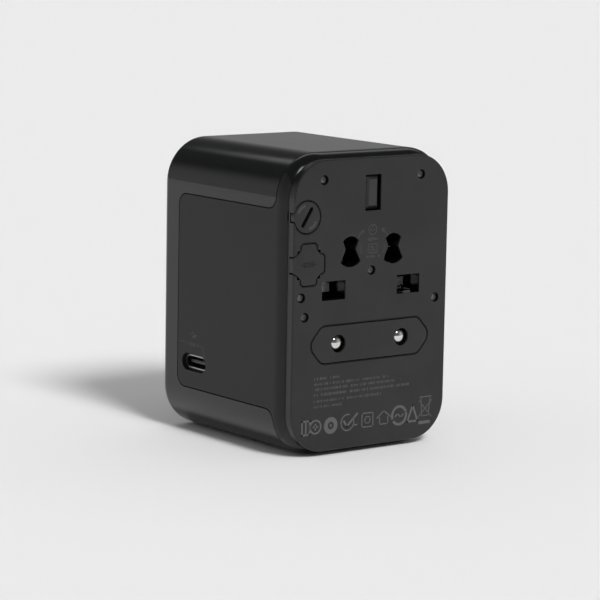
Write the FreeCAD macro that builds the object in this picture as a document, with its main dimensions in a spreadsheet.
import FreeCAD, Part
import os
import re
import Sketcher

# Universal travel adapter, millimetres. +Z up, the object stands on its flat bottom side.
# Every piece is drawn from one datum: x = 0 on the middle plane, z = 0 on the bottom and
# y = 0 on the plug face, with +y into the case. Each piece's Placement then moves it back by
# half the depth, so that the origin is the centre of the bottom of the case.

doc = FreeCAD.newDocument("TravelAdapter")
dims = doc.addObject("Spreadsheet::Sheet", "dims")
fits = doc.addObject("Spreadsheet::Sheet", "fits")

DIMENSIONS = {
    # case
    "case_width": 48.4, "case_height": 70.8, "case_depth": 51.0, "corner_round": 10.8,
    "wall": 1.6, "front_round": 3.0, "rear_round": 2.2,
    # plug face plate
    "face_proud": 2.0, "face_inset": 1.3, "face_round": 9.4, "face_plate": 2.2, "spigot": 1.2,
    # side panel of the front frame
    "parting": 5.2, "panel_rear": 44.0, "panel_low": 11.4, "panel_high": 58.0,
    "panel_corner": 2.8, "panel_flare": 3.0,
    # UK pins
    "uk_pin_width": 6.35, "uk_pin_thick": 3.97, "uk_spacing": 22.23, "uk_row": 39.0,
    "uk_pin_out": 17.7, "uk_tip_depth": 4.6, "earth_width": 3.97, "earth_tall": 7.92,
    "earth_rise": 22.23, "earth_lead": 4.5,
    # US and AU blades
    "blade_thick": 1.5, "blade_above": 2.75, "blade_below": 3.6, "blade_spacing": 12.7,
    "blade_row": 48.3, "blade_out": 17.0, "blade_tip_depth": 3.5, "blade_waist": 3.0,
    "blade_shank": 4.4,
    # EU pins and block
    "eu_pin": 4.0, "eu_spacing": 18.8, "eu_row": 26.4, "eu_pin_out": 18.5, "eu_tip_depth": 0.2,
    "block_width": 36.0, "block_tall": 8.5, "block_flat": 28.6, "block_out": 5.5,
    "block_flange": 1.2, "block_round": 2.4,
    # carriages, knobs and guide rods
    "carriage_thick": 3.5, "guide_rod": 2.0, "bracket": 1.6, "arm_thick": 1.6, "arm_inset": 4.6,
    "arm_tall": 4.4, "strap_tall": 1.5, "knob_centre": 36.0, "knob_length": 7.0, "knob_tall": 2.8,
    "knob_air": 1.3, "knob_flange": 1.0, "knob_lip": 1.0, "track_depth": 0.5, "track_margin": 1.4,
    # fuse drawer and spare fuse
    "fuse_dia": 5.2, "fuse_length": 20.0, "drawer_inset": 5.7, "drawer_row": 45.5,
    "trough_wall": 0.6, "drawer_length": 22.5, "holder_wall": 0.5, "cover_width": 8.8,
    "cover_tall": 9.5, "cover_arm": 4.3, "cover_nick": 0.5, "cover_step": 0.95, "cover_rise": 1.3,
    "cover_thick": 1.6,
    "spare_inset": 5.0, "spare_row": 56.5, "cap_dia": 7.2, "cap_thick": 1.6, "neck_wall": 0.3,
    "cap_neck_length": 4.0, "coin_slot_long": 5.4, "coin_slot_wide": 1.0, "coin_slot_deep": 0.8,
    # rear socket
    "rear_rim": 4.2, "socket_flange": 1.2, "shutter_thick": 1.4,
    "socket_row": 39.0, "socket_slot_tall": 4.6, "socket_slot_wide": 7.2,
    "socket_module_half": 16.8, "module_low": 35.0, "module_high": 66.4,
    # charger
    "board_top": 15.9, "board_thick": 1.6, "board_gap": 1.2, "usb_a_wide": 13.1,
    "usb_a_tall": 5.8, "usb_a_deep": 13.0, "usb_a_x": 8.2, "usb_c_wide": 8.94,
    "usb_c_tall": 3.26, "usb_c_deep": 7.3, "usb_c_depth": 37.3, "usb_c_recess": 1.0,
    "sheet": 0.3,
    # screws and clearances
    "screw_head": 2.0, "screw_shank": 1.3, "screw_recess": 2.3, "screw_sink": 0.3,
    "run_gap": 0.05, "slide_gap": 0.15, "seam_gap": 0.25, "free_gap": 0.2,
}

# What fits, seats or lines up is worked out here from the values above.
FITS = {
    "half_width": "case_width / 2",
    "inner_half": "half_width - wall",
    "inner_round": "corner_round - wall",
    "middle": "case_height / 2",
    "plate_width": "case_width - 2 * face_inset",
    "plate_tall": "case_height - 2 * face_inset",
    "plate_back": "face_plate + spigot",
    "carriage_out": "plate_back + free_gap",
    "earth_row": "uk_row + earth_rise",
    # travel of each slide: the tip goes from its depth at rest to its length outside the face
    "uk_travel": "uk_pin_out + uk_tip_depth",
    "us_travel": "blade_out + blade_tip_depth",
    "eu_travel": "eu_pin_out + block_out + eu_tip_depth",
    "uk_front": "carriage_out + uk_travel",
    "uk_back": "uk_front + carriage_thick",
    "us_front": "carriage_out + us_travel",
    "us_back": "us_front + carriage_thick",
    "flange_front": "carriage_out + block_out",
    "block_back": "flange_front + block_flange",
    "eu_front": "block_back - block_out + slide_gap + eu_travel",
    "eu_back": "eu_front + carriage_thick",
    "uk_half": "uk_spacing / 2",
    "blade_half": "blade_spacing / 2",
    "eu_half": "eu_spacing / 2",
    "lobe_above": "blade_above + 0.3",
    "lobe_below": "blade_below + 0.6",
    # fuse drawer, spare fuse and their holder
    "drawer_x": "drawer_inset - half_width",
    "spare_x": "spare_inset - half_width",
    "drawer_side": "fuse_dia + 2 * trough_wall",
    "cap_neck": "fuse_dia + 2 * neck_wall",
    "holder_right": "drawer_x + drawer_side / 2 + slide_gap + holder_wall",
    "holder_left": "-inner_half + run_gap",
    "holder_low": "drawer_row - drawer_side / 2 - slide_gap - holder_wall",
    "holder_high": "spare_row + cap_neck / 2 + slide_gap + holder_wall",
    "holder_back": "drawer_length + 1.6",
    "leg_left": "holder_right + free_gap + 0.2",
    # chassis wall stands behind the carriages
    "chassis_front": "eu_back + 2 * free_gap",
    "chassis_back": "chassis_front + 1.4",
    "module_front": "chassis_back + run_gap",
    "fence_inner": "socket_module_half - 1.4",
    "fence_high": "blade_row + 4",
    "plate_rear": "case_depth - free_gap",
    "flange_back": "case_depth - wall - run_gap",
    "flange_low": "flange_back - socket_flange",
    "shutter_back": "flange_low - slide_gap",
    "shutter_front": "shutter_back - shutter_thick",
    "module_back": "shutter_front - slide_gap",
    "rear_half": "half_width - rear_rim",
    "arm_inner": "inner_half - arm_inset",
    "arm_outer": "arm_inner + arm_thick",
    "arm_back": "knob_centre + knob_length / 2 + knob_lip",
    "knob_outer": "half_width - track_depth + 0.1",
    "knob_root": "flange_inner + knob_flange",
    "flange_inner": "arm_outer + knob_air",
    "board_low": "board_top - board_thick",
    "board_half": "inner_half - board_gap",
    "usb_c_row": "board_top + usb_c_tall / 2",
    "usb_c_outer": "-half_width + usb_c_recess",
    "pocket_floor": "screw_sink + 0.6",
    "light_row": "board_top + usb_a_tall + 2.8",
}


def fill_sheet(sheet, cells):
    """Write a name and a value in each row and give the value's cell the name as its alias."""
    for row, (name, content) in enumerate(cells.items(), start=1):
        sheet.set("A%d" % row, name)
        sheet.set("B%d" % row, content)
        sheet.setAlias("B%d" % row, name)


def bound(text):
    """Point every name in an expression at the sheet that holds it."""
    def sheet_of(match):
        word = match.group(0)
        if word in DIMENSIONS:
            return "<<dims>>." + word
        return "<<fits>>." + word if word in FITS else word
    return re.sub(r"[a-z_]+[a-z0-9_]*", sheet_of, str(text))


def value(text):
    """The present value of an expression, in millimetres or degrees."""
    return float(fits.evalExpression(bound(text)))


def bind(item, settings):
    """Bind each property of an object to an expression."""
    for path, text in settings.items():
        item.setExpression(path, bound(text))
    return item


fill_sheet(dims, {name: str(number) for name, number in DIMENSIONS.items()})
doc.recompute()
fill_sheet(fits, {name: "=" + bound(text) for name, text in FITS.items()})
doc.recompute()

NODES = []
TURN_ALONG_Y = FreeCAD.Rotation(FreeCAD.Vector(1, 0, 0), -90)
TURN_ALONG_X = FreeCAD.Rotation(FreeCAD.Vector(0, 1, 0), 90)


def block(name, x, y, z):
    """A box between two values on each axis."""
    item = doc.addObject("Part::Box", name)
    sides = {"Length": x, "Width": y, "Height": z}
    bind(item, {side: "(%s) - (%s)" % (high, low) for side, (low, high) in sides.items()})
    bind(item, {"Placement.Base.x": x[0], "Placement.Base.y": y[0], "Placement.Base.z": z[0]})
    return item


def centred(name, x, y, z, wide, tall):
    """A box whose section in x and z is centred on a point."""
    return block(name, ("%s - (%s) / 2" % (x, wide), "%s + (%s) / 2" % (x, wide)), y,
                 ("%s - (%s) / 2" % (z, tall), "%s + (%s) / 2" % (z, tall)))


def rod(name, x, y, z, radius, turn=TURN_ALONG_Y):
    """A cylinder along y, or along x where turn says so: the spanned axis gives two values."""
    item = doc.addObject("Part::Cylinder", name)
    item.Placement = FreeCAD.Placement(FreeCAD.Vector(), turn)
    low, high = x if turn is TURN_ALONG_X else y
    start_x = low if turn is TURN_ALONG_X else x
    start_y = y if turn is TURN_ALONG_X else low
    bind(item, {"Radius": radius, "Height": "(%s) - (%s)" % (high, low), "Placement.Base.x": start_x,
                "Placement.Base.y": start_y, "Placement.Base.z": z})
    return item


def ball(name, x, y, z, radius):
    """A sphere about a point."""
    item = doc.addObject("Part::Sphere", name)
    return bind(item, {"Radius": radius, "Placement.Base.x": x, "Placement.Base.y": y,
                       "Placement.Base.z": z})


def fuse(name, pieces):
    """One solid of several pieces."""
    item = doc.addObject("Part::MultiFuse", name)
    item.Shapes = pieces
    item.Refine = True
    return item


def cut(name, base, tools):
    """A base with every tool taken out of it."""
    item = doc.addObject("Part::Cut", name)
    item.Base = base
    item.Tool = tools[0] if len(tools) == 1 else fuse(name + "_tools", tools)
    item.Refine = True
    return item


def common(name, base, other):
    """What two solids share."""
    item = doc.addObject("Part::Common", name)
    item.Base = base
    item.Tool = other
    item.Refine = True
    return item


def group(name, pieces):
    """Separate solids that share one node."""
    item = doc.addObject("Part::Compound", name)
    item.Links = pieces
    return item


def node(item, label):
    """Name a finished piece and put the origin at the middle of the case's depth."""
    if item.TypeId in ("Part::Box", "Part::Cylinder"):
        item = group(item.Name + "_placed", [item])
    item.Label = label
    item.setExpression("Placement.Base.y", bound("-case_depth / 2"))
    NODES.append(item)
    return item


def sketch_on(body, name, role, offset):
    """A sketch on one of the body's own planes, moved out by an expression along +y or +x."""
    sketch = body.newObject("Sketcher::SketchObject", name)
    plane = [face for face in body.Origin.OriginFeatures if face.Role == role][0]
    sketch.AttachmentSupport = (plane, "")
    sketch.MapMode = "FlatFace"
    sign = "-" if role == "XZ_Plane" else ""
    sketch.setExpression("AttachmentOffset.Base.z", bound("%s(%s)" % (sign, offset)))
    return sketch


def hold(sketch, kind, where, text):
    """Add one dimension to a sketch and bind it to an expression."""
    index = sketch.addConstraint(Sketcher.Constraint(kind, *where, value(text)))
    sketch.setExpression("Constraints[%d]" % index, bound(text))


def rounded_rectangle(sketch, wide, tall, radius, height):
    """A rectangle with four equal rounds, centred on x = 0 at a height."""
    half, rise, round_off, mid = value(wide) / 2, value(tall) / 2, value(radius), value(height)
    corners = ((1, 1, 0), (-1, 1, 90), (-1, -1, 180), (1, -1, 270))
    arcs = []
    for side, up, start in corners:
        centre = FreeCAD.Vector(side * (half - round_off), mid + up * (rise - round_off), 0)
        circle = Part.Circle(centre, FreeCAD.Vector(0, 0, 1), round_off)
        first = FreeCAD.Units.Quantity("%f deg" % start).getValueAs("rad").Value
        last = FreeCAD.Units.Quantity("%f deg" % (start + 90)).getValueAs("rad").Value
        arcs.append(sketch.addGeometry(Part.ArcOfCircle(circle, first, last)))
    for index, arc in enumerate(arcs):
        following = arcs[(index + 1) % 4]
        start = sketch.getPoint(arc, 2)
        end = sketch.getPoint(following, 1)
        line = sketch.addGeometry(Part.LineSegment(start, end))
        sketch.addConstraint(Sketcher.Constraint("Tangent", arc, 2, line, 1))
        sketch.addConstraint(Sketcher.Constraint("Tangent", line, 2, following, 1))
        direction = "Horizontal" if index % 2 == 0 else "Vertical"
        sketch.addConstraint(Sketcher.Constraint(direction, line))
        if index:
            sketch.addConstraint(Sketcher.Constraint("Equal", arcs[0], arc))
    hold(sketch, "Radius", (arcs[0],), radius)
    hold(sketch, "DistanceX", (-1, 1, arcs[0], 3), "(%s) / 2 - (%s)" % (wide, radius))
    hold(sketch, "DistanceX", (arcs[1], 3, -1, 1), "(%s) / 2 - (%s)" % (wide, radius))
    hold(sketch, "DistanceY", (-1, 1, arcs[0], 3), "(%s) + (%s) / 2 - (%s)" % (height, tall, radius))
    hold(sketch, "DistanceY", (arcs[2], 3, arcs[0], 3), "(%s) - 2 * (%s)" % (tall, radius))


def outline(sketch, points):
    """A closed outline of straight lines, each corner held by its two coordinates."""
    places = [FreeCAD.Vector(value(a), value(b), 0) for a, b in points]
    count = len(places)
    for index in range(count):
        sketch.addGeometry(Part.LineSegment(places[index], places[(index + 1) % count]))
    for index, (a, b) in enumerate(points):
        sketch.addConstraint(Sketcher.Constraint("Coincident", index - 1 if index else count - 1, 2,
                                                 index, 1))
        hold(sketch, "DistanceX", (-1, 1, index, 1), a)
        hold(sketch, "DistanceY", (-1, 1, index, 1), b)


def pad(body, sketch, length):
    """Push a sketch out along +y from an XZ plane, or along +x from a YZ plane."""
    feature = body.newObject("PartDesign::Pad", sketch.Name + "_pad")
    feature.Profile = sketch
    feature.Reversed = "_xz" in sketch.Name
    feature.setExpression("Length", bound(length))
    return feature


def edges_at(shape, depth):
    """Names of the edges that lie wholly in the plane y = depth."""
    found = []
    for index, edge in enumerate(shape.Edges, start=1):
        if all(abs(vertex.Y - depth) < 1e-4 for vertex in edge.Vertexes):
            if abs(edge.CenterOfMass.y - depth) < 1e-4:
                found.append("Edge%d" % index)
    return found


def round_edges(body, feature, depth, radius):
    """Round all edges of a feature in one plane."""
    doc.recompute()
    fillet = body.newObject("PartDesign::Fillet", body.Name + "_round%d" % len(body.Group))
    fillet.Base = (feature, edges_at(feature.Shape, value(depth)))
    fillet.setExpression("Radius", bound(radius))
    return fillet


def slab(name, wide, tall, radius, start, length):
    """A body: a rounded rectangle about the case's middle, from a depth, of some length."""
    body = doc.addObject("PartDesign::Body", name)
    sketch = sketch_on(body, name + "_xz", "XZ_Plane", start)
    rounded_rectangle(sketch, wide, tall, radius, "middle")
    pad(body, sketch, length)
    return body


def prism(name, points, start, length):
    """A body: a straight-sided outline in x and z, pushed from a depth along +y."""
    body = doc.addObject("PartDesign::Body", name)
    sketch = sketch_on(body, name + "_xz", "XZ_Plane", start)
    outline(sketch, points)
    pad(body, sketch, length)
    return body


# ---- case: one envelope, parted into the front frame and the outer shell ----

def case_envelope(name):
    """The whole outside of the case, with both ends rounded over."""
    body = slab(name, "case_width", "case_height", "corner_round", "face_proud",
                "case_depth - face_proud")
    front = round_edges(body, body.Tip, "face_proud", "front_round")
    round_edges(body, front, "case_depth", "rear_round")
    return body


def case_cavity(name):
    """The hollow inside the case, open at the front."""
    return slab(name, "case_width - 2 * wall", "case_height - 2 * wall", "inner_round",
                "0", "case_depth - wall")


def front_region(name, gap):
    """Everything before the parting line, and the left panel with its flares, grown by a gap."""
    ahead = block(name + "_ahead", ("-case_width", "case_width"), ("-parting", "parting + %s" % gap),
                  ("-wall", "case_height + wall"))
    sides = ("-case_width", "-inner_half + 0.2")
    panel = block(name + "_panel", sides, ("0", "panel_rear + %s" % gap),
                  ("panel_low - %s" % gap, "panel_high + %s" % gap))
    corners = []
    rounds = []
    for end, edge, away in (("low", "panel_low - %s" % gap, 1), ("high", "panel_high + %s" % gap, -1)):
        radius = "(panel_corner + %s)" % gap
        centre = "%s + %d * %s" % (edge, away, radius)
        rear = "panel_rear + %s" % gap
        span = sorted((edge, centre), key=value)
        square = block("%s_square_%s" % (name, end), sides, ("%s - %s" % (rear, radius), rear), span)
        disc = rod("%s_disc_%s" % (name, end), sides, "%s - %s" % (rear, radius), centre, radius,
                   TURN_ALONG_X)
        corners.append(cut("%s_corner_%s" % (name, end), square, [disc]))
        flare = "(panel_flare - %s)" % gap
        hub = "%s - %d * %s" % (edge, away, flare)
        reach = sorted((edge, hub), key=value)
        lug = block("%s_lug_%s" % (name, end), sides, ("0", "parting + panel_flare"), reach)
        bite = rod("%s_bite_%s" % (name, end), sides, "parting + panel_flare", hub, flare, TURN_ALONG_X)
        rounds.append(cut("%s_flare_%s" % (name, end), lug, [bite]))
    trimmed = cut(name + "_trimmed", panel, corners)
    return fuse(name, [ahead, trimmed] + rounds)


def boss(name, x, z, side):
    """A screw boss with a web that joins it to the side wall of the front frame."""
    reach = "(parting + 1.4)"
    post = rod(name + "_post", x, ("plate_back + run_gap", reach), z, "1.4")
    wall_side = ("-inner_half - 0.3", x) if side < 0 else (x, "inner_half + 0.3")
    web = block(name + "_web", wall_side, ("plate_back + run_gap", "parting - 0.1"),
                ("%s - 0.6" % z, "%s + 0.6" % z))
    return [post, web]


SIDE_SCREWS = (("left_high", "2.1 - inner_half", "37.9", -1),
               ("left_low", "3.2 - inner_half", "33.3", -1),
               ("right", "inner_half - 3.1", "35.1", 1))
PILLAR_SCREWS = (("top_left", "-14.4", "64.8", "1.7"), ("top_right", "14.4", "64.8", "1.7"),
                 ("centre", "0", "43.0", "1.4"))
SCREW_PLACES = [(key, x, z) for key, x, z, last in SIDE_SCREWS + PILLAR_SCREWS]


def make_front_frame():
    """Matte ring behind the plug face, one piece with the left side panel."""
    walls = cut("frame_walls", case_envelope("frame_envelope"), [case_cavity("frame_cavity")])
    ring = common("frame_ring", walls, front_region("frame_region", "0"))
    bosses = []
    for key, x, z, side in SIDE_SCREWS:
        bosses += boss("boss_" + key, x, z, side)
    solid = fuse("frame_solid", [ring] + bosses)
    wide, tall = "usb_c_wide", "usb_c_tall"
    port = [centred_on_side("frame_port", ("-case_width", "-inner_half + 1"), wide, tall, "0.1"),
            centred_on_side("frame_recess", ("-case_width", "usb_c_outer"), wide, tall, "0.45")]
    holes = [rod("boss_hole_" + key, x, ("0", "case_depth / 2"), z, "screw_shank / 2 + run_gap")
             for key, x, z, side in SIDE_SCREWS]
    neck = rod("frame_neck", "spare_x", ("0", "parting + 1"), "spare_row", "cap_dia / 2 + slide_gap")
    trough = centred("frame_trough", "drawer_x", ("0", "parting + 1"), "drawer_row",
                     "drawer_side + 2 * slide_gap", "drawer_side + 2 * slide_gap")
    return node(cut("front_frame", solid, port + holes + [neck, trough]), "front_frame")


def centred_on_side(name, x, wide, tall, margin):
    """A slot through the left side for the small port, with full round ends."""
    radius = "((%s) / 2 + %s)" % (tall, margin)
    half = "(%s) / 2 + %s - %s" % (wide, margin, radius)
    low, high = "usb_c_depth - (%s)" % half, "usb_c_depth + (%s)" % half
    return fuse(name, [
        block(name + "_mid", x, (low, high), ("usb_c_row - %s" % radius, "usb_c_row + %s" % radius)),
        rod(name + "_near", x, low, "usb_c_row", radius, TURN_ALONG_X),
        rod(name + "_far", x, high, "usb_c_row", radius, TURN_ALONG_X)])


KNOBS = {"uk": "uk_row", "us": "blade_row", "eu": "eu_row"}


def knob_span(key, margin):
    """Depth range that a knob sweeps, with a margin at both ends."""
    reach = "knob_length / 2 + %s" % margin
    return ("knob_centre - %s_travel - (%s)" % (key, reach), "knob_centre + %s" % reach)


def make_outer_shell():
    """Glossy sleeve with a rear wall, a U-shaped cut-out for the panel and three knob slots."""
    walls = cut("shell_walls", case_envelope("shell_envelope"), [case_cavity("shell_cavity")])
    opening = slab("shell_rear_opening", "2 * rear_half", "case_height - 2 * rear_rim",
                   "corner_round - rear_rim", "case_depth - 2 * wall", "3 * wall")
    tools = [front_region("shell_region", "seam_gap"), opening]
    for key, row in KNOBS.items():
        tools.append(centred("slot_" + key, "half_width", knob_span(key, "free_gap"), row, "4 * wall",
                             "knob_tall + 2 * free_gap"))
        tools.append(centred("track_" + key, "half_width", knob_span(key, "track_margin"), row,
                             "2 * track_depth", "knob_tall + 2 * track_margin"))
    return node(cut("outer_shell", walls, tools), "outer_shell")


# ---- plug face ----

def lobe(name, x, up, radius, spread):
    """One lobe of a blade's opening: the part of a disc between two lines that open from the waist."""
    reach = "%s + 2" % radius
    edge = "blade_waist / 2 + (%s) * (%s)" % (spread, reach)
    rise = "blade_row %s (%s)" % (up, reach)
    wedge = prism(name + "_wedge", [("%s - blade_waist / 2" % x, "blade_row"),
                                    ("%s - (%s)" % (x, edge), rise), ("%s + %s" % (x, edge), rise),
                                    ("%s + blade_waist / 2" % x, "blade_row")], "-1", "plate_back + 2")
    disc = rod(name + "_disc", x, ("-1", "plate_back + 1"), "blade_row", radius)
    return common(name, disc, wedge)


def bow_tie(name, x):
    """Opening for one blade: a waist at the pivot, a small lobe above and a larger one below."""
    return fuse(name, [lobe(name + "_above", x, "+", "lobe_above", "0.42"),
                       lobe(name + "_below", x, "-", "lobe_below", "0.5")])


def hexagon(name, margin, start, length):
    """The EU block's outline: flat top and bottom, blunt pointed ends, grown by a margin."""
    half, flat = "block_width / 2 + 1.4 * %s" % margin, "block_flat / 2 + 0.4 * %s" % margin
    low, high = "eu_row - block_tall / 2 - %s" % margin, "eu_row + block_tall / 2 + %s" % margin
    points = [("-(%s)" % half, "eu_row"), ("-(%s)" % flat, low), (flat, low), (half, "eu_row"),
              (flat, high), ("-(%s)" % flat, high)]
    body = prism(name, points, start, length)
    doc.recompute()
    fillet = body.newObject("PartDesign::Fillet", name + "_round")
    fillet.Base = (body.Group[-2], edges_along_y(body.Group[-2].Shape))
    fillet.setExpression("Radius", bound("block_round + %s" % margin))
    return body


def edges_along_y(shape):
    """Names of the edges that run along y."""
    return ["Edge%d" % index for index, edge in enumerate(shape.Edges, start=1)
            if abs(edge.tangentAt(edge.FirstParameter).y) > 0.99]


def cover_outline(name, margin, start, length):
    """The fuse cover's outline: a cross with nicked ends and slanting shoulders between its arms."""
    corner = [("cover_width / 2 + %s", "cover_arm / 2 - cover_nick + 0.4 * %s"),
              ("cover_width / 2 - cover_nick + 0.4 * %s", "cover_arm / 2 + %s"),
              ("cover_width / 2 - cover_step + 0.4 * %s", "cover_arm / 2 + %s"),
              ("cover_arm / 2 + %s", "cover_tall / 2 - cover_rise + 0.4 * %s"),
              ("cover_arm / 2 + %s", "cover_tall / 2 - cover_nick + 0.4 * %s"),
              ("cover_arm / 2 - cover_nick + 0.4 * %s", "cover_tall / 2 + %s")]
    points = []
    for side, up in (("+", "+"), ("-", "+"), ("-", "-"), ("+", "-")):
        ordered = corner if side == up else corner[::-1]
        points += [("drawer_x %s (%s)" % (side, x % margin), "drawer_row %s (%s)" % (up, z % margin))
                   for x, z in ordered]
    return prism(name, points, start, length)


def make_plug_face():
    """Textured plate with every pin opening, on a spigot that sits inside the front frame."""
    plate = slab("face_sheet", "plate_width", "plate_tall", "face_round", "0", "face_plate")
    round_edges(plate, plate.Tip, "0", "0.3")
    spigot = slab("face_spigot", "case_width - 2 * (wall + slide_gap)",
                  "case_height - 2 * (wall + slide_gap)", "inner_round - slide_gap", "face_plate - 0.5",
                  "spigot + 0.5")
    solid = fuse("face_solid", [plate, spigot])
    through = ("-1", "plate_back + 1")
    gap = "0.26"
    holes = [centred("hole_earth", "0", through, "earth_row", "earth_width + 0.7", "earth_tall + 0.5"),
             bow_tie("hole_blade_left", "-blade_half"), bow_tie("hole_blade_right", "blade_half"),
             hexagon("hole_block", "seam_gap", "-1", "plate_back + 2"),
             cover_outline("hole_cover", "seam_gap", "-1", "cover_thick + 1 + run_gap"),
             centred("hole_drawer", "drawer_x", through, "drawer_row", "drawer_side + 2 * slide_gap",
                     "drawer_side + 2 * slide_gap"),
             rod("hole_cap", "spare_x", ("-1", "cap_thick + run_gap"), "spare_row",
                 "cap_dia / 2 + seam_gap"),
             rod("hole_neck", "spare_x", through, "spare_row", "cap_neck / 2 + slide_gap")]
    for side, x in (("left", "-uk_half"), ("right", "uk_half")):
        holes.append(centred("hole_uk_" + side, x, through, "uk_row", "uk_pin_width + 2 * %s" % gap,
                             "uk_pin_thick + 2 * %s" % gap))
    for key, x, z in SCREW_PLACES:
        holes.append(rod("recess_" + key, x, ("-1", "pocket_floor"), z, "screw_recess / 2"))
        holes.append(rod("bore_" + key, x, through, z, "screw_shank / 2 + run_gap"))
    return node(cut("plug_face", solid, holes), "plug_face")


def make_face_screws():
    """Six small pan-head screws through the plug face."""
    screws = []
    for key, x, z in SCREW_PLACES:
        head = rod("head_" + key, x, ("screw_sink", "pocket_floor"), z, "screw_head / 2")
        shank = rod("shank_" + key, x, ("pocket_floor", "parting + 1.2"), z, "screw_shank / 2")
        drive = rod("drive_" + key, x, ("0", "screw_sink + 0.35"), z, "0.35")
        screws.append(cut("screw_" + key, fuse("blank_" + key, [head, shank]), [drive]))
    return node(group("face_screws", screws), "face_screws")


# ---- chassis, fuse holder and guide rods ----

def make_chassis():
    """Wall behind the carriages, three screw pillars and a fence that shades the knob slots."""
    wall = block("chassis_wall", ("-socket_module_half", "socket_module_half"),
                 ("chassis_front", "chassis_back"), ("module_low", "module_high"))
    pillars = [rod("pillar_" + key, x, ("plate_back + run_gap", "chassis_front + 0.5"), z, radius)
               for key, x, z, radius in PILLAR_SCREWS]
    fence = block("chassis_fence", ("fence_inner", "fence_inner + 1"),
                  ("plate_back + run_gap", "chassis_front + 0.5"), ("module_low", "fence_high"))
    holes = [rod("pillar_hole_" + key, x, ("0", "parting + 3"), z, "screw_shank / 2 + run_gap")
             for key, x, z, radius in PILLAR_SCREWS]
    holes += [block("strap_way_" + key, ("fence_inner - 1", "fence_inner + 2"),
                    ("plate_back - 1", "chassis_front"), strap_height(row, "slide_gap"))
              for key, row in (("uk", "uk_row"), ("us", "blade_row"))]
    holes += [rod("rod_seat_" + key, "0", ("chassis_front - 1", "chassis_back + 1"), row,
                  "guide_rod / 2") for key, row in (("uk", "uk_row"), ("us", "blade_row"))]
    earth = centred("earth_way", "0", ("chassis_front - 1", "chassis_back + 1"), "earth_row - 2.2",
                    "5.6", "9.2")
    return node(cut("chassis", fuse("chassis_solid", [wall, fence] + pillars), holes + [earth]), "chassis")


def make_fuse_holder():
    """Moulded block with a square way for the fuse drawer and a round one for the spare fuse."""
    solid = block("holder_solid", ("holder_left", "holder_right"),
                  ("parting + 2", "holder_back"), ("holder_low", "holder_high"))
    way = centred("holder_way", "drawer_x", ("0", "drawer_length + slide_gap"), "drawer_row",
                  "drawer_side + 2 * slide_gap", "drawer_side + 2 * slide_gap")
    well = rod("holder_well", "spare_x", ("0", "holder_back - 1"), "spare_row",
               "cap_neck / 2 + slide_gap")
    return node(cut("fuse_holder", solid, [way, well]), "fuse_holder")


def make_guide_rods():
    """Three steel rods on the middle plane, one for each carriage."""
    rods = [rod("rod_uk", "0", ("plate_back + free_gap", "chassis_back"), "uk_row", "guide_rod / 2"),
            rod("rod_us", "0", ("plate_back + free_gap", "chassis_back"), "blade_row", "guide_rod / 2"),
            rod("rod_eu", "0", ("plate_back", "chassis_back"), "eu_row", "guide_rod / 2")]
    return node(group("guide_rods", rods), "guide_rods")


def make_fuse_clips():
    """Two spring clips: one each side of the fuse holder's back wall."""
    near = centred("clip_drawer", "drawer_x", ("holder_back + run_gap", "holder_back + 0.5"),
                   "drawer_row", "5", "4")
    far = centred("clip_side", "holder_right + 0.15", ("9", "19"), "drawer_row", "0.2", "3.4")
    return node(group("fuse_clips", [near, far]), "fuse_clips")


# ---- UK pins ----

def make_uk_carriage():
    """C-shaped carriage: bar behind the metal pins, leg on the left, bar behind the earth pin."""
    depth = ("uk_front", "uk_back")
    low, high = "uk_row - uk_pin_thick / 2 - 0.6", "uk_row + uk_pin_thick / 2 + 0.45"
    bar_half = "uk_half + uk_pin_width / 2 + 0.7"
    bar = block("uk_bar", ("-(%s)" % bar_half, bar_half), depth, (low, high))
    leg = block("uk_leg", ("leg_left", "leg_left + 2.6"), depth, (low, "earth_row + 1"))
    bridge = block("uk_bridge", ("leg_left", "2.6"), depth, ("earth_row - earth_tall / 2 - 0.5",
                                                             "earth_row + 1"))
    top = block("uk_top", ("-2.6", "2.6"), depth, ("earth_row - earth_tall / 2 - 0.5",
                                                   "earth_row + earth_tall / 2 + 0.5"))
    solid = fuse("uk_frame", [bar, leg, bridge, top] + arm("uk", "uk_row", bar_half))
    through = ("uk_front - 1", "uk_back + 1")
    holes = [centred("uk_seat_left", "-uk_half", through, "uk_row", "uk_pin_width", "uk_pin_thick"),
             centred("uk_seat_right", "uk_half", through, "uk_row", "uk_pin_width", "uk_pin_thick"),
             centred("uk_seat_earth", "0", depth, "earth_row", "earth_width", "earth_tall"),
             rod("uk_guide", "0", ("uk_front - 1", "uk_back + 1"), "uk_row", "guide_rod / 2 + run_gap")]
    return node(cut("uk_carriage", solid, holes), "uk_carriage")


def strap_height(row, margin="0"):
    """The low strip in which a carriage reaches past the chassis fence to its arm."""
    return ("%s - arm_tall / 2 - %s" % (row, margin), "%s - arm_tall / 2 + strap_tall + %s" % (row, margin))


def arm(key, row, reach):
    """Bracket behind a carriage's right end and the arm that carries its knob."""
    back = "%s_back" % key
    bracket = block(key + "_bracket", ("%s - 3" % reach, "arm_outer"), (back, back + " + bracket"),
                    strap_height(row))
    plate = block(key + "_arm", ("arm_inner", "arm_outer"), (back, "arm_back"),
                  ("%s - arm_tall / 2" % row, "%s + arm_tall / 2" % row))
    return [bracket, plate]


def chamfered_pin(name, x, z, wide, tall, tip, back, bevel):
    """A rectangular pin along y whose tip is bevelled on all four sides."""
    shape = centred(name + "_blank", x, (tip, back), z, wide, tall)
    doc.recompute()
    item = doc.addObject("Part::Chamfer", name)
    item.Base = shape
    depth = value(tip)
    item.Edges = [(int(edge[4:]), value(bevel), value(bevel)) for edge in edges_at(shape.Shape, depth)]
    return item


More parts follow.
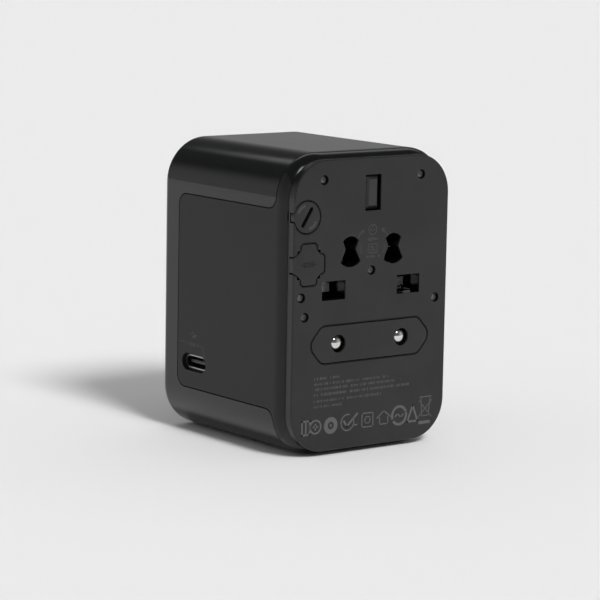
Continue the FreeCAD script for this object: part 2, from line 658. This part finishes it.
def make_uk_pins():
    """Two nickel-plated brass pins, seated through the carriage."""
    back = "uk_back + 1"
    pins = [chamfered_pin("uk_pin_" + side, x, "uk_row", "uk_pin_width", "uk_pin_thick", "uk_tip_depth",
                          back, "1.0") for side, x in (("left", "-uk_half"), ("right", "uk_half"))]
    return node(group("uk_line_pins", pins), "uk_line_pins")


def make_uk_earth_pin():
    """Plastic earth pin, longer than the other two by its lead."""
    pin = chamfered_pin("uk_earth", "0", "earth_row", "earth_width", "earth_tall",
                        "uk_tip_depth - earth_lead", "uk_back", "0.9")
    return node(pin, "uk_earth_pin")


# ---- US and AU blades ----

def make_us_carriage():
    """Carriage with two round seats in which the blades turn."""
    depth = ("us_front", "us_back")
    reach = "blade_half + blade_shank / 2 + 1.6"
    bar = block("us_bar", ("-(%s)" % reach, reach), depth, ("blade_row - 3.1", "blade_row + 3.1"))
    link = block("us_link", ("blade_half", "arm_inner - 1"), depth, strap_height("blade_row"))
    solid = fuse("us_frame", [bar, link] + arm("us", "blade_row", "arm_inner - 1"))
    holes = [rod("us_seat_left", "-blade_half", depth, "blade_row", "blade_shank / 2 + run_gap"),
             rod("us_seat_right", "blade_half", depth, "blade_row", "blade_shank / 2 + run_gap"),
             rod("us_guide", "0", depth, "blade_row", "guide_rod / 2 + run_gap")]
    return node(cut("us_carriage", solid, holes), "us_carriage")


def make_blade(side, x):
    """Flat blade on a round shank, kept in the carriage by a head behind it."""
    back = "us_front - run_gap"
    flat = block("blade_flat_" + side, ("%s - blade_thick / 2" % x, "%s + blade_thick / 2" % x),
                 ("blade_tip_depth", back), ("blade_row - blade_below", "blade_row + blade_above"))
    doc.recompute()
    tip = doc.addObject("Part::Chamfer", "blade_tip_" + side)
    tip.Base = flat
    depth = value("blade_tip_depth")
    tip.Edges = [(int(edge[4:]), 0.5, 0.5) for edge in edges_at(flat.Shape, depth)]
    shank = rod("blade_shank_" + side, x, (back, "us_back + run_gap"), "blade_row", "blade_shank / 2")
    head = rod("blade_head_" + side, x, ("us_back + run_gap", "us_back + 1"), "blade_row",
               "blade_shank / 2 + 0.6")
    return node(fuse("us_blade_" + side, [tip, shank, head]), "us_blade_" + side)


# ---- EU pins and block ----

def make_eu_carriage():
    """Carriage behind the two round pins."""
    depth = ("eu_front", "eu_back")
    half = "eu_half + eu_pin / 2 + 1.2"
    bar = block("eu_bar", ("-(%s)" % half, half), depth, ("eu_row - 2.9", "eu_row + 2.9"))
    link = block("eu_link", ("eu_half", "arm_inner - 1"), depth,
                 ("eu_row - arm_tall / 2", "eu_row + arm_tall / 2"))
    solid = fuse("eu_frame", [bar, link] + arm("eu", "eu_row", "arm_inner - 1"))
    holes = [rod("eu_seat_left", "-eu_half", depth, "eu_row", "eu_pin / 2"),
             rod("eu_seat_right", "eu_half", depth, "eu_row", "eu_pin / 2"),
             rod("eu_guide", "0", depth, "eu_row", "guide_rod / 2 + run_gap")]
    return node(cut("eu_carriage", solid, holes), "eu_carriage")


def make_eu_pins():
    """Two 4 mm pins with domed tips."""
    pins = []
    for side, x in (("left", "-eu_half"), ("right", "eu_half")):
        dome_end = "eu_tip_depth + eu_pin / 2"
        dome = common("eu_dome_" + side,
                      ball("eu_tip_" + side, x, "eu_tip_depth + 0.6 * eu_pin", "eu_row", "0.6 * eu_pin"),
                      rod("eu_dome_blank_" + side, x, ("eu_tip_depth", dome_end), "eu_row", "eu_pin / 2"))
        stem = rod("eu_stem_" + side, x, (dome_end, "eu_back + 0.5"), "eu_row", "eu_pin / 2")
        pins.append(fuse("eu_pin_" + side, [dome, stem]))
    return node(group("eu_pins", pins), "eu_pins")


def make_eu_block():
    """Hexagonal block that slides out ahead of the EU pins, with a flange that stops it."""
    body = hexagon("block_body", "0", "0", "block_back")
    flange = centred("block_flange_plate", "0", ("flange_front", "block_back"), "eu_row",
                     "block_width + 1.8", "block_tall + 1.9")
    bores = [rod("block_bore_" + side, x, ("-1", "block_back + 1"), "eu_row",
                 "eu_pin / 2 + 2 * run_gap") for side, x in (("left", "-eu_half"), ("right", "eu_half"))]
    guide = rod("block_guide", "0", ("plate_back - 0.5", "block_back + 1"), "eu_row",
                "guide_rod / 2 + run_gap")
    return node(cut("eu_block", fuse("block_solid", [body, flange]), bores + [guide]), "eu_block")


# ---- knobs on the right side ----

def make_knob(key, row):
    """Press-and-slide knob: ribbed pad in the slot, flange inside the wall."""
    half = "knob_length / 2"
    pad_part = block(key + "_pad", ("knob_root", "knob_outer"),
                     ("knob_centre - %s" % half, "knob_centre + %s" % half),
                     ("%s - knob_tall / 2" % row, "%s + knob_tall / 2" % row))
    reach = "knob_length / 2 + knob_lip"
    flange = block(key + "_flange", ("flange_inner", "knob_root"),
                   ("knob_centre - (%s)" % reach, "knob_centre + %s" % reach),
                   ("%s - knob_tall / 2 - 0.8" % row, "%s + knob_tall / 2 + 0.8" % row))
    grooves = [block("%s_groove_%d" % (key, step), ("knob_outer - 0.35", "knob_outer + 1"),
                     ("knob_centre + %s - 0.3" % shift, "knob_centre + %s + 0.3" % shift),
                     ("%s - knob_tall / 2 + 0.4" % row, "%s + knob_tall / 2 - 0.4" % row))
               for step, shift in enumerate(("(-2.2)", "(-0.75)", "0.75", "2.2"))]
    return node(cut(key + "_knob", fuse(key + "_knob_solid", [pad_part, flange]), grooves), key + "_knob")


def make_knob_spring(key, row):
    """Wave washer between the arm and the knob: a ring that flattens when the knob is pressed."""
    ring = rod(key + "_ring", ("arm_outer + run_gap", "flange_inner - run_gap"), "knob_centre", row, "1.8",
               TURN_ALONG_X)
    eye = rod(key + "_eye", ("arm_outer - 1", "flange_inner + 1"), "knob_centre", row, "1.3", TURN_ALONG_X)
    return node(cut(key + "_knob_spring", ring, [eye]), key + "_knob_spring")


# ---- fuse drawer and spare fuse ----

def make_fuse_drawer():
    """Cross-shaped cover with a trough behind it that carries the fuse."""
    cover = cover_outline("drawer_cover", "0", "0", "cover_thick")
    trough = centred("drawer_trough", "drawer_x", ("cover_thick", "drawer_length"), "drawer_row",
                     "drawer_side", "drawer_side")
    bed = rod("drawer_bed", "drawer_x", ("drawer_length - fuse_length - 0.3", "drawer_length + 1"),
              "drawer_row", "fuse_dia / 2 + run_gap")
    solid = fuse("drawer_solid", [cover, trough])
    return node(cut("fuse_drawer", solid, [bed]), "fuse_drawer")


def fuse_link(name, x, start, row):
    """Ceramic fuse with two metal end caps, as one solid of three diameters."""
    body = rod(name + "_body", x, (start, "%s + fuse_length" % start), row, "fuse_dia / 2 - 0.15")
    caps = [rod(name + "_cap_front", x, (start, "%s + 4.5" % start), row, "fuse_dia / 2"),
            rod(name + "_cap_back", x, ("%s + fuse_length - 4.5" % start, "%s + fuse_length" % start), row,
                "fuse_dia / 2")]
    return fuse(name, [body] + caps)


def make_fuses():
    """The fuse in the drawer and the spare one behind the round cap."""
    node(fuse_link("fuse", "drawer_x", "(drawer_length - fuse_length - 0.2)", "drawer_row"), "fuse")
    node(fuse_link("spare_fuse", "spare_x", "(cap_thick + 1.2)", "spare_row"), "spare_fuse")


def make_spare_fuse_cap():
    """Round cap with a coin slot and a neck that holds the end of the spare fuse."""
    disc = rod("cap_disc", "spare_x", ("0", "cap_thick"), "spare_row", "cap_dia / 2")
    neck = rod("cap_neck_part", "spare_x", ("cap_thick", "cap_thick + cap_neck_length"), "spare_row",
               "cap_neck / 2")
    cup = rod("cap_cup", "spare_x", ("cap_thick + 1.1", "cap_thick + cap_neck_length + 1"), "spare_row",
              "fuse_dia / 2 + run_gap")
    reach = "(coin_slot_long - coin_slot_wide) / 2"
    slot = fuse("cap_slot", [
        block("cap_slot_middle", ("-" + reach, reach), ("-1", "coin_slot_deep"),
              ("-coin_slot_wide / 2", "coin_slot_wide / 2")),
        rod("cap_slot_low", "-" + reach, ("-1", "coin_slot_deep"), "0", "coin_slot_wide / 2"),
        rod("cap_slot_high", reach, ("-1", "coin_slot_deep"), "0", "coin_slot_wide / 2")])
    turned = doc.addObject("Part::Compound", "cap_slot_turned")
    turned.Links = [slot]
    turned.Placement = FreeCAD.Placement(FreeCAD.Vector(), FreeCAD.Rotation(FreeCAD.Vector(0, 1, 0), -57))
    bind(turned, {"Placement.Base.x": "spare_x", "Placement.Base.z": "spare_row"})
    return node(cut("spare_fuse_cap", fuse("cap_solid", [disc, neck]), [cup, turned]), "spare_fuse_cap")


# ---- rear socket ----

def socket_hole(name, side, depth, margin):
    """Live or neutral way: a wide slot below, a round hole and an upright slot above it."""
    half = "%suk_half" % side
    round_x = "%s9.6" % side
    slot_x = "%sblade_half" % side
    return [centred(name + "_slot", half, depth, "socket_row", "socket_slot_wide + 2 * %s" % margin,
                    "socket_slot_tall + 2 * %s" % margin),
            rod(name + "_round", round_x, depth, "socket_row + 4.2", "2.5 + %s" % margin),
            centred(name + "_upright", slot_x, depth, "socket_row + 4.4", "2.2 + 2 * %s" % margin,
                    "7.0 + 2 * %s" % margin)]


def earth_way(name, depth, margin):
    """Earth way of the rear socket: an upright slot."""
    return centred(name, "0", depth, "socket_row + 18", "4.7 + 2 * %s" % margin, "8.4 + 2 * %s" % margin)


def make_socket_face():
    """Rear plate with the socket and port openings, held by a flange inside the shell."""
    plate = slab("socket_sheet", "2 * rear_half - 2 * run_gap", "case_height - 2 * rear_rim - 2 * run_gap",
                 "corner_round - rear_rim - run_gap", "flange_back - 0.4", "plate_rear - flange_back + 0.4")
    flange = slab("socket_rim", "2 * rear_half + 2", "case_height - 2 * rear_rim + 2",
                  "corner_round - rear_rim + 1", "flange_low", "socket_flange")
    through = ("flange_low - 1", "case_depth + 1")
    holes = [earth_way("rear_earth", through, "0")]
    holes += socket_hole("rear_left", "-", through, "0") + socket_hole("rear_right", "", through, "0")
    for side, x in (("left", "-usb_a_x"), ("right", "usb_a_x")):
        holes.append(centred("rear_port_" + side, x, through, "board_top + usb_a_tall / 2",
                             "usb_a_wide + 2 * run_gap", "usb_a_tall + 2 * run_gap"))
    holes.append(rod("rear_light", "0", through, "light_row", "1 + run_gap"))
    return node(cut("socket_face", fuse("socket_face_solid", [plate, flange]), holes), "socket_face")


def make_socket_body():
    """Module behind the rear plate with a chamber for each contact."""
    solid = block("module_solid", ("-socket_module_half", "socket_module_half"),
                  ("module_front", "module_back"), ("module_low", "module_high"))
    through = ("module_front - 1", "module_back + 1")
    chambers = [earth_way("module_earth", through, "0.2"),
                block("module_left", ("-15.6", "-4.4"), through, ("socket_row - 3.2", "socket_row + 9")),
                block("module_right", ("4.4", "15.6"), through, ("socket_row - 3.2", "socket_row + 9"))]
    return node(cut("socket_body", solid, chambers), "socket_body")


def make_contact(name, side):
    """Folded brass contact: a lower and an upper leaf joined at the outer side."""
    depth = ("module_front + 1", "module_back - 1")
    outer, inner = ("-15.5", "-4.8") if side < 0 else ("4.8", "15.5")
    edge = ("-15.5", "-15.0") if side < 0 else ("15.0", "15.5")
    lower = block(name + "_lower", (outer, inner), depth, ("socket_row - 3.1", "socket_row - 2.6"))
    upper = block(name + "_upper", (outer, inner), depth, ("socket_row + 8.3", "socket_row + 8.8"))
    spine = block(name + "_spine", edge, depth, ("socket_row - 3.1", "socket_row + 8.8"))
    return node(fuse(name, [lower, upper, spine]), name)


def make_shutter():
    """Safety shutter: two bars over the wide slots on a common bridge, and its spring below."""
    depth = ("shutter_front", "shutter_back")
    low, high = "socket_row - 2.7", "socket_row + 2.7"
    left = block("shutter_left", ("-15.2", "-4.5"), depth, (low, high))
    right = block("shutter_right", ("4.5", "15.2"), depth, (low, high))
    bridge = block("shutter_bridge", ("-5", "5"), depth, ("socket_row - 2.2", "socket_row + 1"))
    node(fuse("socket_shutter", [left, right, bridge]), "socket_shutter")
    spring = centred("shutter_coil", "0", depth, "socket_row - 6.75", "3", "9")
    eye = centred("shutter_coil_eye", "0", ("shutter_front - 1", "shutter_back + 1"),
                  "socket_row - 6.75", "2", "8")
    seat = block("spring_seat", ("-2.4", "2.4"), ("module_back + 0.02", "flange_low"),
                 ("socket_row - 12.4", "socket_row - 11.3"))
    node(cut("shutter_spring", spring, [eye]), "shutter_spring")
    node(seat, "shutter_seat")


# ---- bus bars and wipers ----

def make_bus_bars():
    """Live and neutral bars between the UK and EU carriages, and the pair above the blades."""
    for name, low, high in (("live_bus_bar", "-12.4", "-7"), ("neutral_bus_bar", "7", "12.4")):
        node(block(name + "_strip", (low, high), ("8", "module_back - 2"), ("33.2", "33.8")), name)
    upper = [block("blade_bar_" + side, (low, high), ("8", "chassis_front - run_gap"), ("53.4", "54"))
             for side, low, high in (("left", "-8.6", "-4.1"), ("right", "4.1", "8.6"))]
    node(group("blade_bus_bars", upper), "blade_bus_bars")


def make_wipers():
    """Spring strips that carry current from each pin to its bar."""
    uk = [block("uk_wiper_" + side, ("%s - 1.2" % x, "%s + 1.2" % x), ("uk_back", "uk_back + 0.4"),
                ("33.9", "uk_row - uk_pin_thick / 2 - 0.05"))
          for side, x in (("left", "-9.6"), ("right", "9.6"))]
    eu = [block("eu_wiper_" + side, ("%s - 1.2" % x, "%s + 1.2" % x), ("eu_back", "eu_back + 0.4"),
                ("eu_row + eu_pin / 2 + 0.05", "33.1"))
          for side, x in (("left", "-eu_half"), ("right", "eu_half"))]
    us = [block("us_wiper_" + side, ("%s - 1.2" % x, "%s + 1.2" % x), ("us_back", "us_back + 0.4"),
                ("blade_row + blade_shank / 2 + 0.75", "53.3"))
          for side, x in (("left", "-blade_half"), ("right", "blade_half"))]
    for name, strips in (("uk_wipers", uk), ("us_wipers", us), ("eu_wipers", eu)):
        node(group(name, strips), name)


# ---- charger ----

def make_charger():
    """Board with its parts, the ports and the sheet that keeps them off the mains side."""
    board = block("board_sheet", ("-board_half", "board_half"), ("9", "case_depth - 5"),
                  ("board_low", "board_top"))
    node(board, "circuit_board")
    core = block("transformer_core", ("-8", "8"), ("13", "27"), ("board_low - 11", "board_low"))
    coil = block("transformer_coil", ("-6", "6"), ("11.5", "28.5"), ("board_low - 9", "board_low - 2"))
    node(fuse("transformer", [core, coil]), "transformer")
    cans = [rod("can_" + key, x, y, "board_low - %s - 0.1" % radius, radius)
            for key, x, y, radius in (("large", "-14.5", ("11", "25"), "4"),
                                      ("small", "-14.5", ("27", "37"), "3"))]
    node(group("capacitors", cans), "capacitors")
    outer = rod("choke_outer", "14.5", ("12", "17"), "board_low - 5.1", "5")
    eye = rod("choke_eye", "14.5", ("11", "18"), "board_low - 5.1", "2.2")
    node(cut("choke", outer, [eye]), "choke")
    chips = [block("rectifier", ("11", "17"), ("22", "27"), ("board_low - 2.5", "board_low")),
             block("controller", ("10", "16"), ("30", "35"), ("board_low - 1.6", "board_low")),
             block("port_chip", ("-4", "1"), ("20", "25"), ("board_top", "board_top + 1.4"))]
    node(group("chips", chips), "chips")
    node(block("divider_sheet", ("-21", "21"), ("11.5", "34"), ("20", "20.6")), "insulating_divider")
    node(rod("light_lens", "0", ("flange_low - 3", "plate_rear"), "light_row", "1"),
         "indicator_lens")


def make_usb_a_port(side, x):
    """USB-A receptacle: folded metal shell, back wall and a tongue."""
    back, front = "plate_rear - usb_a_deep", "plate_rear"
    row = "board_top + usb_a_tall / 2"
    outer = centred("usb_a_outer_" + side, x, (back, front), row, "usb_a_wide", "usb_a_tall")
    inner = centred("usb_a_inner_" + side, x, (back + " + 1.5", front + " + 1"), row,
                    "usb_a_wide - 2 * sheet", "usb_a_tall - 2 * sheet")
    tongue = centred("usb_a_tongue_" + side, x, (back + " + 1", front + " - 1"),
                     "board_top + usb_a_tall - 1.8", "usb_a_wide - 2", "1.8")
    shell = cut("usb_a_shell_" + side, outer, [inner])
    return node(fuse("usb_a_port_" + side, [shell, tongue]), "usb_a_port_" + side)


def make_usb_c_port():
    """Side USB-C receptacle: round-ended metal shell and a thin tongue."""
    inner_end = "usb_c_outer + usb_c_deep"
    outer = centred_on_side("usb_c_outer_shell", ("usb_c_outer", inner_end), "usb_c_wide", "usb_c_tall",
                            "0")
    hollow = centred_on_side("usb_c_hollow", ("usb_c_outer - 1", inner_end + " - 1.2"),
                             "usb_c_wide - 2 * sheet", "usb_c_tall - 2 * sheet", "0")
    tongue = block("usb_c_tongue", ("usb_c_outer + 0.6", inner_end + " - 1"),
                   ("usb_c_depth - 3.3", "usb_c_depth + 3.3"), ("usb_c_row - 0.35", "usb_c_row + 0.35"))
    return node(fuse("usb_c_port", [cut("usb_c_shell", outer, [hollow]), tongue]), "usb_c_port")


make_front_frame()
make_outer_shell()
make_plug_face()
make_face_screws()
make_chassis()
make_fuse_holder()
make_guide_rods()
make_fuse_clips()
make_uk_carriage()
make_uk_pins()
make_uk_earth_pin()
make_us_carriage()
make_blade("left", "-blade_half")
make_blade("right", "blade_half")
make_eu_carriage()
make_eu_pins()
make_eu_block()
for knob_key, knob_row in KNOBS.items():
    make_knob(knob_key, knob_row)
    make_knob_spring(knob_key, knob_row)
make_fuse_drawer()
make_fuses()
make_spare_fuse_cap()
make_socket_face()
make_socket_body()
make_contact("live_contact", -1)
make_contact("neutral_contact", 1)
make_shutter()
make_bus_bars()
make_wipers()
make_charger()
make_usb_a_port("left", "-usb_a_x")
make_usb_a_port("right", "usb_a_x")
make_usb_c_port()

doc.recompute()
failed = [item.Name for item in doc.Objects if "Invalid" in item.State or "Error" in item.State]
failed += [item.Label for item in NODES if item.Shape.isNull() or not item.Shape.isValid()]
if failed:
    raise SystemExit("failed objects: %s" % ", ".join(failed))
os.makedirs("parts", exist_ok=True)
for item in NODES:
    item.Shape.exportStep("parts/%s.step" % item.Label)
print("%d nodes" % len(NODES))
